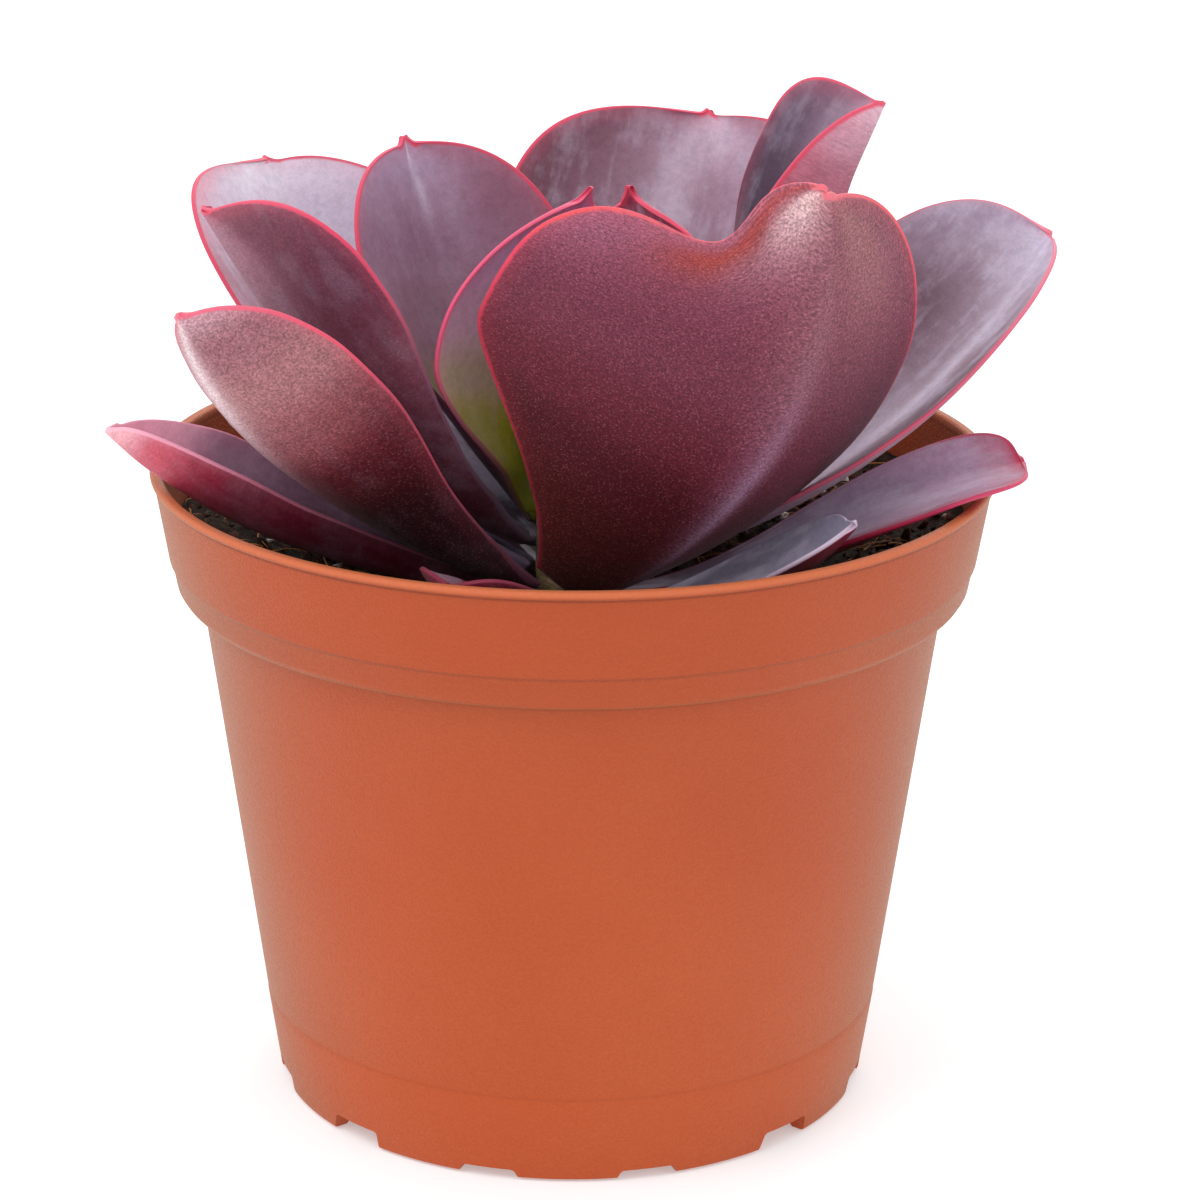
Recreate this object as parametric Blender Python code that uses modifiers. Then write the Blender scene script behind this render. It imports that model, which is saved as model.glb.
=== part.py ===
# Potted echeveria: a broad-leaved rosette in a plastic grower's pot
# Metres, +Z up. The pot's axis is the Z axis and its foot stands on z = 0

import math

import bmesh
import bpy
from mathutils import Matrix, Vector, noise

MM = 0.001

# Pot, outside
RIM_RADIUS = 60.0 * MM
POT_HEIGHT = 92.4 * MM
LIP_HEIGHT = 1.6 * MM
LIP_PROUD = 0.5 * MM
TIER_HEIGHT = 78.0 * MM
TIER_RADIUS = 57.6 * MM
TIER_STEP = 0.4 * MM
COLLAR_HEIGHT = 74.6 * MM
COLLAR_RADIUS = 55.4 * MM
COLLAR_FILLET = 1.2 * MM
BODY_TOP_RADIUS = 53.2 * MM
FOOT_RADIUS = 43.1 * MM
CREASE_HEIGHT = 12.0 * MM
CREASE_DEPTH = 0.25 * MM
CREASE_WIDTH = 0.8 * MM
POT_EASE = 0.5 * MM
POT_STEPS = 48

# Pot, inside
LIP_WIDTH = 1.9 * MM
WALL = 1.2 * MM
FLOOR_TOP = 4.4 * MM
FLOOR_UNDER = 3.0 * MM
FLOOR_CORNER = 2.0 * MM
FOOT_WIDTH = 2.4 * MM
DRAIN_RING = 27.0 * MM
DRAIN_RADIUS = 4.0 * MM
DRAIN_COUNT = 6
DRAIN_STEPS = 16

# Notches round the foot, two shallow and two deep in turn
NOTCH_COUNT = 12
NOTCH_ANGLE = math.radians(13)
NOTCH_SHALLOW = 1.3 * MM
NOTCH_DEEP = 2.6 * MM
NOTCH_SLANT = 1.2 * MM

# Potting mix
GAP = 0.3 * MM
WALL_GAP = 0.45 * MM
MIX_RIM_LEVEL = 84.0 * MM
MIX_DIP = 11.0 * MM
MIX_DIP_WIDTH = 30.0 * MM
MIX_CRUMB = 0.5 * MM
MIX_CRUMB_SIZE = 4.0 * MM
MIX_STEPS = 36
MIX_RINGS = 10

# Stem
STEM_X = 0.0 * MM
STEM_Y = -18.0 * MM
STEM_RADIUS = 5.0 * MM
STEM_TOP = 96.0 * MM
STEM_FOOT = 42.0 * MM
STEM_STEPS = 20
STEM_SHOULDER = 6.0 * MM
STEM_TAPER = 20.0 * MM
STEM_GREEN = (0.25, 0.28, 0.12)

# Leaf blades
LEAF_ALONG = 14
LEAF_ACROSS = 8
MIDRIB_STEPS = 60
MARGIN_THICKNESS = 0.9 * MM
RIB_THICKNESS = 3.0 * MM
ROOT_EASE = 0.12
BROAD_ROW = 0.45
ROW_EASE = 1.25
POINT_ROW = 0.92
POINT_WIDTH = 1.1 * MM
POINT_END = 0.35 * MM

# Each leaf in degrees and millimetres. Left and right are as seen looking out along the leaf.
# turn: heading round the stem, 0 right and 90 to the rear. root: height on the stem.
# climb: slope of the midrib at root, middle and tip. lean: sideways slope in the blade at the same places.
# roll: turning about the midrib, root and tip. half: width of the right and left half.
# fold: slope of the halves, root and tip. curl: bending of the right and left half.
# broad: place of the greatest width, from 0 at the root to 1 at the tip. blunt: roundness of the top.
# dent: a bay in the top margin, as its distance from the midrib, its depth and its spread.
# base: width at the root as a share of each half. point: length of the small point at the tip.
# clear: distance of the root from the stem.
PLAIN = dict(lean=(0, 0, 0), roll=(0, 0), fold=(25, 12), curl=(20, 20), broad=(0.62, 0.62), blunt=(2.2, 2.2),
             dent=(0, 0, 1), base=(0.15, 0.15), point=2.5, clear=0.6)
LEAVES = {
    "leaf_left_low": dict(turn=178, root=79.5, length=65, climb=(7, 19, 41), half=(9, 9), fold=(42, 42),
                          roll=(-6, -6), broad=(0.72, 0.72), blunt=(1.7, 2.2)),
    "leaf_left_sliver": dict(turn=166, root=82.4, length=48.5, climb=(21, 21, 30), half=(5, 5.5),
                             base=(0.1, 0.1)),
    "leaf_right_small": dict(turn=-24, root=77.5, length=41.5, climb=(6, 26, 44), half=(10, 6)),
    "leaf_front_small": dict(turn=-117, root=78, length=34, climb=(5, 22, 60), half=(9, 9), blunt=(3, 3)),
    "leaf_right_low": dict(turn=6, root=79, length=61, climb=(-3, 23, 7), half=(14.2, 9), fold=(8, 12),
                           roll=(0, 8), blunt=(4, 5), broad=(0.75, 0.8), point=1.5, base=(0.15, 0.1)),
    "leaf_left_fold": dict(turn=208, root=81, length=70.5, climb=(25, 42, 52), half=(17, 15.5),
                           fold=(12, 6), roll=(28, 34), broad=(0.42, 0.7), blunt=(1.6, 2.2)),
    "leaf_front": dict(turn=-84, root=81, length=75, climb=(50, 72, 80), half=(40, 25), lean=(48, 24, 0),
                       roll=(5, 17), fold=(5, 20), blunt=(3.1, 1.7), broad=(0.5, 0.6), base=(0.34, 0.06),
                       dent=(13, 10, 8), clear=2.6),
    "leaf_right": dict(turn=15, root=83, length=78, climb=(10, 38, 46), half=(19, 23.6), fold=(16, 12),
                       roll=(11, 14), blunt=(2.2, 2.7), broad=(0.69, 0.6), base=(0.1, 0.15)),
    "leaf_left_upper": dict(turn=190, root=87, length=66, climb=(28, 48, 58), half=(6, 21.5),
                            fold=(28, 25), roll=(5, 8), broad=(0.62, 0.72), blunt=(2.2, 2.8)),
    "leaf_left_back": dict(turn=139, root=85, length=72.5, climb=(22, 41, 55), half=(22, 30.5),
                           curl=(20, 12), blunt=(2, 3.8), fold=(25, 16), roll=(0, 3), base=(0.15, 0.1)),
    "leaf_back_left": dict(turn=133, root=88, length=59.5, climb=(34, 62, 70), half=(20, 23)),
    "leaf_back": dict(turn=67, root=84, length=71, climb=(32, 52, 64), half=(23, 27), blunt=(3.6, 3)),
    "leaf_back_right": dict(turn=12, root=89, length=70.5, climb=(26, 64, 60), half=(14, 16.5),
                            fold=(40, 60), roll=(5, -10), broad=(0.5, 0.82), blunt=(1.2, 3.6),
                            curl=(20, -30), base=(0.15, 0.1), point=1.5),
    "leaf_inner_left": dict(turn=121, root=91.2, length=45.5, climb=(60, 90, 120), half=(7, 27),
                            lean=(0, -8, -15), base=(0.15, 0.22), broad=(0.62, 0.55)),
    "leaf_inner_back": dict(turn=52, root=92, length=43, climb=(40, 84, 106), half=(10, 6)),
    "leaf_rear_low": dict(turn=85, root=80, length=64, climb=(6, 20, 28), half=(13, 13)),
    "leaf_rear_right": dict(turn=52, root=80.5, length=62, climb=(8, 27, 36), half=(14, 13)),
    "leaf_rear_left": dict(turn=122, root=80.5, length=58, climb=(8, 26, 36), half=(12, 13)),
    "leaf_inner_right": dict(turn=-30, root=92, length=36, climb=(55, 88, 104), half=(9, 9)),
}

# Youngest leaves, grown into the tip of the stem
HEART_COUNT = 5
HEART_TURN = 137.5
HEART_ROOT = 94.5
HEART_LENGTH = 15.5
HEART_SHRINK = 2.0
HEART_HALF = 3.0
HEART_ALONG = 6
HEART_ACROSS = 4


def newCollection(name):
    collection = bpy.data.collections.new(name)
    bpy.context.scene.collection.children.link(collection)
    return collection


def newMaterial(name, colour, roughness):
    material = bpy.data.materials.new(name)
    material.use_nodes = True
    shader = material.node_tree.nodes["Principled BSDF"]
    shader.inputs["Base Color"].default_value = (*colour, 1)
    shader.inputs["Roughness"].default_value = roughness
    shader.inputs["Metallic"].default_value = 0
    return material


def addObject(name, mesh, collection, material=None):
    piece = bpy.data.objects.new(name, mesh)
    collection.objects.link(piece)
    if material:
        mesh.materials.append(material)
    return piece


def turned(name, profile, steps, collection, material=None):
    """A profile of (radius, height) pairs, spun round the Z axis by a Screw modifier."""
    mesh = bpy.data.meshes.new(name)
    edges = [(i, i + 1) for i in range(len(profile) - 1)]
    mesh.from_pydata([(radius, 0, height) for radius, height in profile], edges, [])
    piece = addObject(name, mesh, collection, material)
    screw = piece.modifiers.new("Screw", "SCREW")
    screw.steps = steps
    screw.render_steps = steps
    screw.use_merge_vertices = True
    screw.merge_threshold = 0.00001
    screw.use_smooth_shade = True
    return piece


def bakedMesh(piece):
    """The piece's evaluated mesh, for pieces that are shaped further after their modifiers."""
    bpy.context.view_layer.update()
    evaluated = piece.evaluated_get(bpy.context.evaluated_depsgraph_get())
    return bpy.data.meshes.new_from_object(evaluated)


def arc(centre, radius, start, end, count):
    """Points on an arc in the profile plane, from start to end degrees."""
    points = []
    for i in range(count + 1):
        angle = math.radians(start + (end - start) * i / count)
        points.append((centre[0] + radius * math.cos(angle), centre[1] + radius * math.sin(angle)))
    return points


def potRadius(height):
    """Outside radius of the body wall."""
    return FOOT_RADIUS + (BODY_TOP_RADIUS - FOOT_RADIUS) * height / COLLAR_HEIGHT


def potProfile():
    lip = LIP_HEIGHT / 2
    collarTop = RIM_RADIUS - LIP_PROUD
    collarInner = RIM_RADIUS - LIP_WIDTH
    shoulder = COLLAR_HEIGHT - WALL
    return [
        (0, FLOOR_TOP),
        (potRadius(FLOOR_TOP) - WALL - FLOOR_CORNER, FLOOR_TOP),
        (potRadius(FLOOR_TOP + FLOOR_CORNER) - WALL, FLOOR_TOP + FLOOR_CORNER),
        (potRadius(shoulder) - WALL, shoulder),
        (COLLAR_RADIUS - WALL, COLLAR_HEIGHT + WALL),
        (TIER_RADIUS - TIER_STEP - WALL, TIER_HEIGHT + WALL),
        (collarInner, POT_HEIGHT - LIP_HEIGHT),
        *arc((collarInner + lip, POT_HEIGHT - lip), lip, 150, 90, 2),
        *arc((RIM_RADIUS - lip, POT_HEIGHT - lip), lip, 90, -60, 5),
        (collarTop, POT_HEIGHT - LIP_HEIGHT - 0.2 * MM),
        (TIER_RADIUS, TIER_HEIGHT),
        (TIER_RADIUS - TIER_STEP, TIER_HEIGHT - TIER_STEP),
        *arc((COLLAR_RADIUS, COLLAR_HEIGHT + COLLAR_FILLET), COLLAR_FILLET, 0, -90, 3),
        (potRadius(COLLAR_HEIGHT) + POT_EASE / 2, COLLAR_HEIGHT),
        (potRadius(COLLAR_HEIGHT - POT_EASE), COLLAR_HEIGHT - POT_EASE),
        (potRadius(CREASE_HEIGHT + CREASE_WIDTH), CREASE_HEIGHT + CREASE_WIDTH),
        (potRadius(CREASE_HEIGHT) - CREASE_DEPTH, CREASE_HEIGHT),
        (FOOT_RADIUS, POT_EASE),
        (FOOT_RADIUS - POT_EASE, 0),
        (FOOT_RADIUS - FOOT_WIDTH, 0),
        (FOOT_RADIUS - FOOT_WIDTH, FLOOR_UNDER),
        (0, FLOOR_UNDER),
    ]


def asCutter(name, collection):
    """The piece just added, named and moved to a collection of cutters that isn't rendered."""
    cutter = bpy.context.object
    cutter.name = name
    cutter.hide_render = True
    cutter.display_type = "WIRE"
    for holder in list(cutter.users_collection):
        holder.objects.unlink(cutter)
    collection.objects.link(cutter)
    return cutter


def notchCutter(index, cutters):
    """A wedge that opens the foot at one of its notches."""
    deep = index // 2 % 2 == 1
    height = NOTCH_DEEP if deep else NOTCH_SHALLOW
    heading = math.radians(-105) + index * 2 * math.pi / NOTCH_COUNT
    bpy.ops.mesh.primitive_cube_add(size=1)
    cutter = asCutter(f"cut_notch_{index + 1}", cutters)
    inner = FOOT_RADIUS - FOOT_WIDTH - 0.6 * MM
    outer = FOOT_RADIUS + 2 * MM
    for vertex in cutter.data.vertices:
        radius = outer if vertex.co.x > 0 else inner
        top = vertex.co.z > 0
        spread = NOTCH_ANGLE / 2 - (NOTCH_SLANT / FOOT_RADIUS if top else 0)
        angle = heading + math.copysign(spread, vertex.co.y)
        vertex.co = (radius * math.cos(angle), radius * math.sin(angle), height if top else -1 * MM)


def drainCutter(index, cutters):
    angle = 2 * math.pi * index / DRAIN_COUNT
    centre = (DRAIN_RING * math.cos(angle), DRAIN_RING * math.sin(angle), (FLOOR_UNDER + FLOOR_TOP) / 2)
    bpy.ops.mesh.primitive_cylinder_add(vertices=DRAIN_STEPS, radius=DRAIN_RADIUS, depth=4 * MM, location=centre)
    asCutter(f"cut_drain_{index + 1}", cutters)


def makePot(parts):
    terracotta = newMaterial("terracotta_plastic", (0.52, 0.10, 0.04), 0.5)
    pot = turned("pot", potProfile(), POT_STEPS, parts, terracotta)
    cutters = newCollection("pot_cutters")
    for index in range(NOTCH_COUNT):
        notchCutter(index, cutters)
    for index in range(DRAIN_COUNT):
        drainCutter(index, cutters)
    cut = pot.modifiers.new("Notches and drains", "BOOLEAN")
    cut.operand_type = "COLLECTION"
    cut.collection = cutters
    cut.operation = "DIFFERENCE"
    cut.solver = "EXACT"


def collarInside(height):
    """Inside radius of the pot's collar, between its foot and the lip."""
    low = TIER_HEIGHT + WALL
    slope = (RIM_RADIUS - LIP_WIDTH - TIER_RADIUS + TIER_STEP + WALL) / (POT_HEIGHT - LIP_HEIGHT - low)
    return TIER_RADIUS - TIER_STEP - WALL + slope * (height - low)


def mixLevel(x, y):
    """Height of the potting mix: level at the wall, dipping to the stem, with crumbs."""
    away = math.hypot(x - STEM_X, y - STEM_Y)
    dip = MIX_DIP * math.exp(-((away / MIX_DIP_WIDTH) ** 2))
    crumb = MIX_CRUMB * noise.noise(Vector((x, y, 0)) / MIX_CRUMB_SIZE)
    return MIX_RIM_LEVEL - dip + crumb


def makeMix(parts):
    soil = newMaterial("potting_mix", (0.03, 0.018, 0.01), 0.95)
    bottom = FLOOR_TOP + GAP
    shoulder = COLLAR_HEIGHT - WALL
    topRadius = collarInside(MIX_RIM_LEVEL) - WALL_GAP
    profile = [(topRadius * i / MIX_RINGS, MIX_RIM_LEVEL) for i in range(MIX_RINGS + 1)]
    profile += [
        (TIER_RADIUS - TIER_STEP - WALL - WALL_GAP, TIER_HEIGHT + WALL),
        (COLLAR_RADIUS - WALL - WALL_GAP, COLLAR_HEIGHT + WALL),
        (potRadius(shoulder) - WALL - WALL_GAP, shoulder),
        (potRadius(FLOOR_TOP + FLOOR_CORNER) - WALL - WALL_GAP, FLOOR_TOP + FLOOR_CORNER + GAP),
        (potRadius(FLOOR_TOP) - WALL - FLOOR_CORNER - GAP, bottom),
        (0, bottom),
    ]
    blank = turned("mix_blank", profile, MIX_STEPS, parts)
    mesh = bakedMesh(blank)
    bpy.data.objects.remove(blank)
    mesh.name = "potting_mix"
    for vertex in mesh.vertices:
        if vertex.co.z > MIX_RIM_LEVEL - 0.01 * MM:
            level = mixLevel(vertex.co.x, vertex.co.y)
            reach = math.hypot(vertex.co.x, vertex.co.y)
            inward = min((collarInside(level) - WALL_GAP) / max(reach, MM), 1)
            vertex.co = (vertex.co.x * inward, vertex.co.y * inward, level)
    mix = addObject("potting_mix", mesh, parts, soil)
    depth = MIX_RIM_LEVEL - STEM_FOOT + 20 * MM
    centre = (STEM_X, STEM_Y, STEM_FOOT - GAP + depth / 2)
    bpy.ops.mesh.primitive_cylinder_add(vertices=STEM_STEPS, radius=STEM_RADIUS + WALL_GAP, depth=depth,
                                        location=centre)
    cutter = asCutter("cut_stem_hole", newCollection("mix_cutters"))
    cut = mix.modifiers.new("Stem hole", "BOOLEAN")
    cut.object = cutter
    cut.operation = "DIFFERENCE"
    cut.solver = "EXACT"


def through(place, first, middle, last):
    """A smooth value that is first at 0, middle at one half and last at 1."""
    return (first * (1 - place) * (1 - 2 * place) + middle * 4 * place * (1 - place)
            + last * place * (2 * place - 1))


def bladeFrame(leaf, place):
    """The blade's own axes at a place along it: x along, y to the left, z out of the inner face."""
    climb = through(place, *leaf["climb"])
    lean = through(place, *leaf["lean"])
    roll = (leaf["roll"][0] + (leaf["roll"][1] - leaf["roll"][0]) * place) * min(place / ROOT_EASE, 1)
    return (Matrix.Rotation(math.radians(leaf["turn"]), 3, "Z")
            @ Matrix.Rotation(math.radians(-climb), 3, "Y")
            @ Matrix.Rotation(math.radians(lean), 3, "Z")
            @ Matrix.Rotation(math.radians(roll), 3, "X"))


def midrib(leaf, count):
    """Points along the midrib, walked from the stem to the tip."""
    heading = math.radians(leaf["turn"])
    out = STEM_RADIUS + leaf["clear"] * MM
    point = Vector((STEM_X + out * math.cos(heading), STEM_Y + out * math.sin(heading), leaf["root"] * MM))
    points = [point]
    stride = leaf["length"] * MM / count
    for i in range(count):
        along = bladeFrame(leaf, (i + 0.5) / count) @ Vector((1, 0, 0))
        point = point + stride * along
        points.append(point)
    return points


def margin(leaf, row, side):
    """The margin of one half, for a row of the grid: its place along the blade and the half's width there.
    Rows run evenly up to the broadest place, then evenly round the blunt top, and the last few are the point."""
    full = leaf["half"][side] * MM
    end = 1 - leaf["point"] / leaf["length"]
    broad = leaf["broad"][side] * end
    if row < BROAD_ROW:
        share = row / BROAD_ROW
        root = leaf["base"][side]
        place = broad * share
        width = full * (root + (1 - root) * share * share * (3 - 2 * share))
    elif row < POINT_ROW:
        angle = math.pi / 2 * (row - BROAD_ROW) / (POINT_ROW - BROAD_ROW)
        power = 2 / leaf["blunt"][side]
        place = broad + (end - broad) * math.sin(angle) ** power
        width = full * math.cos(angle) ** power
    else:
        place = end + (1 - end) * (row - POINT_ROW) / (1 - POINT_ROW)
        width = 0
    point = POINT_WIDTH * min((1 - place) / (1 - end), 1) + POINT_END
    return place, max(width, point)


def rowPlace(leaf, row, across):
    """Place along the blade of a point in the grid. Rows cross the midrib squarely and bend to the margin."""
    end = 1 - leaf["point"] / leaf["length"]
    edge, width = margin(leaf, row, 1 if across > 0 else 0)
    if row >= POINT_ROW:
        return edge, width
    middle = end * (1 - (1 - row / POINT_ROW) ** ROW_EASE)
    return middle + (edge - middle) * across * across, width


def bladePoint(leaf, points, place, across, width):
    """A point of the inner face: place runs from root to tip, across from -1 on the right to 1."""
    count = len(points) - 1
    index = min(int(place * count), count - 1)
    rib = points[index].lerp(points[index + 1], place * count - index)
    side = 1 if across > 0 else 0
    reach = abs(across)
    fold = math.radians(leaf["fold"][0] + (leaf["fold"][1] - leaf["fold"][0]) * place)
    curl = math.radians(leaf["curl"][side]) or 0.001
    flat = math.sin(curl * reach) / curl
    rise = (1 - math.cos(curl * reach)) / curl
    out = math.copysign(flat * math.cos(fold) - rise * math.sin(fold), across)
    up = (flat * math.sin(fold) + rise * math.cos(fold)) * min(place / ROOT_EASE, 1)
    where, depth, spread = leaf["dent"]
    back = depth * MM * math.exp(-(((-out * width / MM - where) / spread) ** 2))
    back *= min(max((place - 0.6) / 0.35, 0), 1) ** 2
    return rib + bladeFrame(leaf, place) @ Vector((-back, out * width, up * width))


def makeLeaf(name, values, parts, material, cellsAlong=LEAF_ALONG, cellsAcross=LEAF_ACROSS):
    leaf = {**PLAIN, **values}
    points = midrib(leaf, MIDRIB_STEPS)
    body = bmesh.new()
    bmesh.ops.create_grid(body, x_segments=cellsAlong, y_segments=cellsAcross, size=0.5)
    layer = body.verts.layers.deform.verify()
    for vertex in body.verts:
        across = vertex.co.y * 2
        place, width = rowPlace(leaf, vertex.co.x + 0.5, across)
        fleshy = (1 - abs(across) ** 1.6) * (1 - place ** 4) * min(1, 0.6 + place * 2)
        vertex[layer][0] = MARGIN_THICKNESS / RIB_THICKNESS * (1 - fleshy) + fleshy
        vertex.co = bladePoint(leaf, points, place, across, width)
    bmesh.ops.triangulate(body, faces=body.faces, quad_method="FIXED")
    mesh = bpy.data.meshes.new(name)
    body.to_mesh(mesh)
    body.free()
    mesh.shade_smooth()
    piece = addObject(name, mesh, parts, material)
    piece.vertex_groups.new(name="flesh")
    shell = piece.modifiers.new("Flesh", "SOLIDIFY")
    shell.thickness = RIB_THICKNESS
    shell.offset = -1
    shell.vertex_group = "flesh"
    return piece


def makeStem(parts):
    """The stem with the youngest leaves grown into its tip as one piece."""
    green = newMaterial("stem_green", STEM_GREEN, 0.6)
    profile = [
        (0, STEM_TOP),
        (STEM_RADIUS * 0.6, STEM_TOP - STEM_SHOULDER * 0.15),
        (STEM_RADIUS * 0.9, STEM_TOP - STEM_SHOULDER * 0.5),
        (STEM_RADIUS, STEM_TOP - STEM_SHOULDER),
        (STEM_RADIUS, STEM_FOOT + STEM_TAPER),
        (STEM_RADIUS * 0.7, STEM_FOOT + STEM_TAPER * 0.3),
        (STEM_RADIUS * 0.3, STEM_FOOT),
        (0, STEM_FOOT),
    ]
    stem = turned("stem_blank", profile, STEM_STEPS, parts)
    stem.location = (STEM_X, STEM_Y, 0)
    young = newCollection("young_leaves")
    for index in range(HEART_COUNT):
        values = dict(turn=HEART_TURN * index, root=HEART_ROOT + 0.3 * index,
                      length=HEART_LENGTH - HEART_SHRINK * index, climb=(50, 72, 84),
                      half=(HEART_HALF, HEART_HALF), fold=(0, 0), curl=(5, 5), point=1.5, clear=-3.5)
        makeLeaf(f"young_{index + 1}", values, young, None, HEART_ALONG, HEART_ACROSS)
    grown = stem.modifiers.new("Young leaves", "BOOLEAN")
    grown.operand_type = "COLLECTION"
    grown.collection = young
    grown.operation = "UNION"
    grown.solver = "EXACT"
    mesh = bakedMesh(stem)
    for piece in [stem, *young.objects]:
        bpy.data.objects.remove(piece)
    mesh.name = "stem"
    whole = addObject("stem", mesh, parts, green)
    whole.location = (STEM_X, STEM_Y, 0)
    return whole


def main():
    for piece in list(bpy.data.objects):
        bpy.data.objects.remove(piece)
    parts = newCollection("potted_echeveria")
    makePot(parts)
    makeMix(parts)
    makeStem(parts)
    purple = newMaterial("leaf_purple", (0.18, 0.05, 0.09), 0.55)
    for name, values in LEAVES.items():
        makeLeaf(name, values, parts, purple)


main()
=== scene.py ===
import math
import random

import bpy
from mathutils import Euler, Matrix, Vector, kdtree, noise


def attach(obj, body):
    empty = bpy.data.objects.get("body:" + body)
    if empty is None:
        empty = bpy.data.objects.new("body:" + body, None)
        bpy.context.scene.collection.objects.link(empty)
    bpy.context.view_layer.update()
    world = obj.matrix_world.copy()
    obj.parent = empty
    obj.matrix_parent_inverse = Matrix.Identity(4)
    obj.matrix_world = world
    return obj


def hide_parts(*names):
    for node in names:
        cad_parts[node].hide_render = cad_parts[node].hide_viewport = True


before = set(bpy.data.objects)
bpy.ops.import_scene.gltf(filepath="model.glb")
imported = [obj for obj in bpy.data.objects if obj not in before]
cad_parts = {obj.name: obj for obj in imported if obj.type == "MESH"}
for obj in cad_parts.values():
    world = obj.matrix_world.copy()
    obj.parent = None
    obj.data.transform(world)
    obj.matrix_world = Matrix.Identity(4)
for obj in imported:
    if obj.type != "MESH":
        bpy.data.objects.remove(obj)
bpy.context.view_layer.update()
mm = 0.001
stemX, stemY = 0.0, -18.0
print("frame loaded")


def clearSelection():
    if bpy.context.object and bpy.context.object.mode != "OBJECT":
        bpy.ops.object.mode_set(mode="OBJECT")
    bpy.ops.object.select_all(action="DESELECT")


def srgb(red, green, blue):
    values = []
    for channel in (red, green, blue):
        share = channel / 255
        values.append(share / 12.92 if share < 0.04 else ((share + 0.055) / 1.055) ** 2.4)
    return (*values, 1)


def mixed(first, second, share):
    return tuple(a + (b - a) * share for a, b in zip(first, second))


def smooth(low, high, value):
    share = min(max((value - low) / (high - low), 0), 1)
    return share * share * (3 - 2 * share)


def hump(value, middle, spread):
    return math.exp(-(((value - middle) / spread) ** 2))


def makeActive(piece, others=()):
    clearSelection()
    for chosen in (piece, *others):
        chosen.select_set(True)
    bpy.context.view_layer.objects.active = piece


def applyModifier(piece, name):
    makeActive(piece)
    bpy.ops.object.modifier_apply(modifier=name)


def finishPiece(piece, name, material, nodes=()):
    piece.name = name
    piece.data.name = name
    piece.data.materials.clear()
    piece.data.materials.append(material)
    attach(piece, "root")
    if nodes:
        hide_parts(*nodes)


# Camera, at the photograph's height and distance
view = dict(elevation=19.0, distance=0.584, aim=(0.0039, 0, 0.0709), lens=121.77, sensor=36,
            roll=0.0077)

clearSelection()
lookDown = math.radians(view["elevation"])
forward = Vector((0, math.cos(lookDown), -math.sin(lookDown)))
place = Vector(view["aim"]) - forward * view["distance"]
bpy.ops.object.camera_add(location=place)
camera = bpy.context.object
camera.data.lens = view["lens"]
camera.data.sensor_width = view["sensor"]
camera.data.clip_start = 0.01
upward = Vector((1, 0, 0)).cross(forward)
turn = Matrix((Vector((1, 0, 0)), upward, -forward)).transposed()
camera.rotation_euler = (turn @ Matrix.Rotation(view["roll"], 3, "Z")).to_euler()
bpy.context.scene.camera = camera

# White studio: a bright sky, a soft key from the upper left, a fill and a rim light
studio = dict(
    sky=1.0, floorColour=(222, 226, 228), floorGlow=0.34, floorSize=8, floorDrop=0.0003,
    lights=(("key", (-0.45, -0.35, 0.75), 0.09, 0.5, 2.4), ("fill", (0.7, -0.5, 0.35), 0.08, 0.6, 0.4),
            ("rim", (0.25, 0.7, 0.6), 0.1, 0.5, 2.0)),
)

world = bpy.data.worlds.new("studio")
bpy.context.scene.world = world
world.use_nodes = True
world.node_tree.nodes["Background"].inputs["Color"].default_value = (1, 1, 1, 1)
world.node_tree.nodes["Background"].inputs["Strength"].default_value = studio["sky"]
bpy.context.scene.view_settings.view_transform = "Standard"


def addLight(name, where, aimHeight, size, power):
    clearSelection()
    bpy.ops.object.light_add(type="AREA", location=where)
    lamp = bpy.context.object
    lamp.name = name
    lamp.data.size = size
    lamp.data.energy = power
    lamp.rotation_euler = (Vector((0, 0, aimHeight)) - Vector(where)).to_track_quat("-Z", "Y").to_euler()


for lightValues in studio["lights"]:
    addLight(*lightValues)


# Shader building blocks
def feed(tree, socket, value):
    if hasattr(value, "is_output"):
        tree.links.new(value, socket)
    else:
        socket.default_value = value


def addNode(tree, kind, **inputs):
    made = tree.nodes.new(kind)
    for name, value in inputs.items():
        feed(tree, made.inputs[name], value)
    return made


def mathNode(tree, operation, first, second=0.0, third=0.0, clamp=False):
    made = tree.nodes.new("ShaderNodeMath")
    made.operation = operation
    made.use_clamp = clamp
    for index, value in enumerate((first, second, third)):
        feed(tree, made.inputs[index], value)
    return made.outputs[0]


def rampBetween(tree, value, low, high):
    made = tree.nodes.new("ShaderNodeMapRange")
    made.interpolation_type = "SMOOTHSTEP"
    made.inputs["From Min"].default_value = low
    made.inputs["From Max"].default_value = high
    tree.links.new(value, made.inputs["Value"])
    return made.outputs["Result"]


def mixColour(tree, share, first, second):
    made = tree.nodes.new("ShaderNodeMix")
    made.data_type = "RGBA"
    for index, value in ((0, share), (6, first), (7, second)):
        feed(tree, made.inputs[index], value)
    return made.outputs[2]


def tinted(tree, colour, strength, mask, toned):
    return mixColour(tree, mathNode(tree, "MULTIPLY", mask, strength), colour, srgb(*toned))


def inverted(tree, value):
    return mathNode(tree, "SUBTRACT", 1.0, value)


def noiseNode(tree, vector, scale, detail=3.0, roughness=0.5):
    made = addNode(tree, "ShaderNodeTexNoise", Vector=vector, Scale=scale, Detail=detail, Roughness=roughness)
    return made.outputs[0]


def stretched(tree, vector, factors):
    return addNode(tree, "ShaderNodeMapping", Vector=vector, Scale=factors).outputs[0]


def objectCoords(tree):
    return tree.nodes.new("ShaderNodeTexCoord").outputs["Object"]


def attributeNode(tree, name):
    made = tree.nodes.new("ShaderNodeAttribute")
    made.attribute_name = name
    return made


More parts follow.
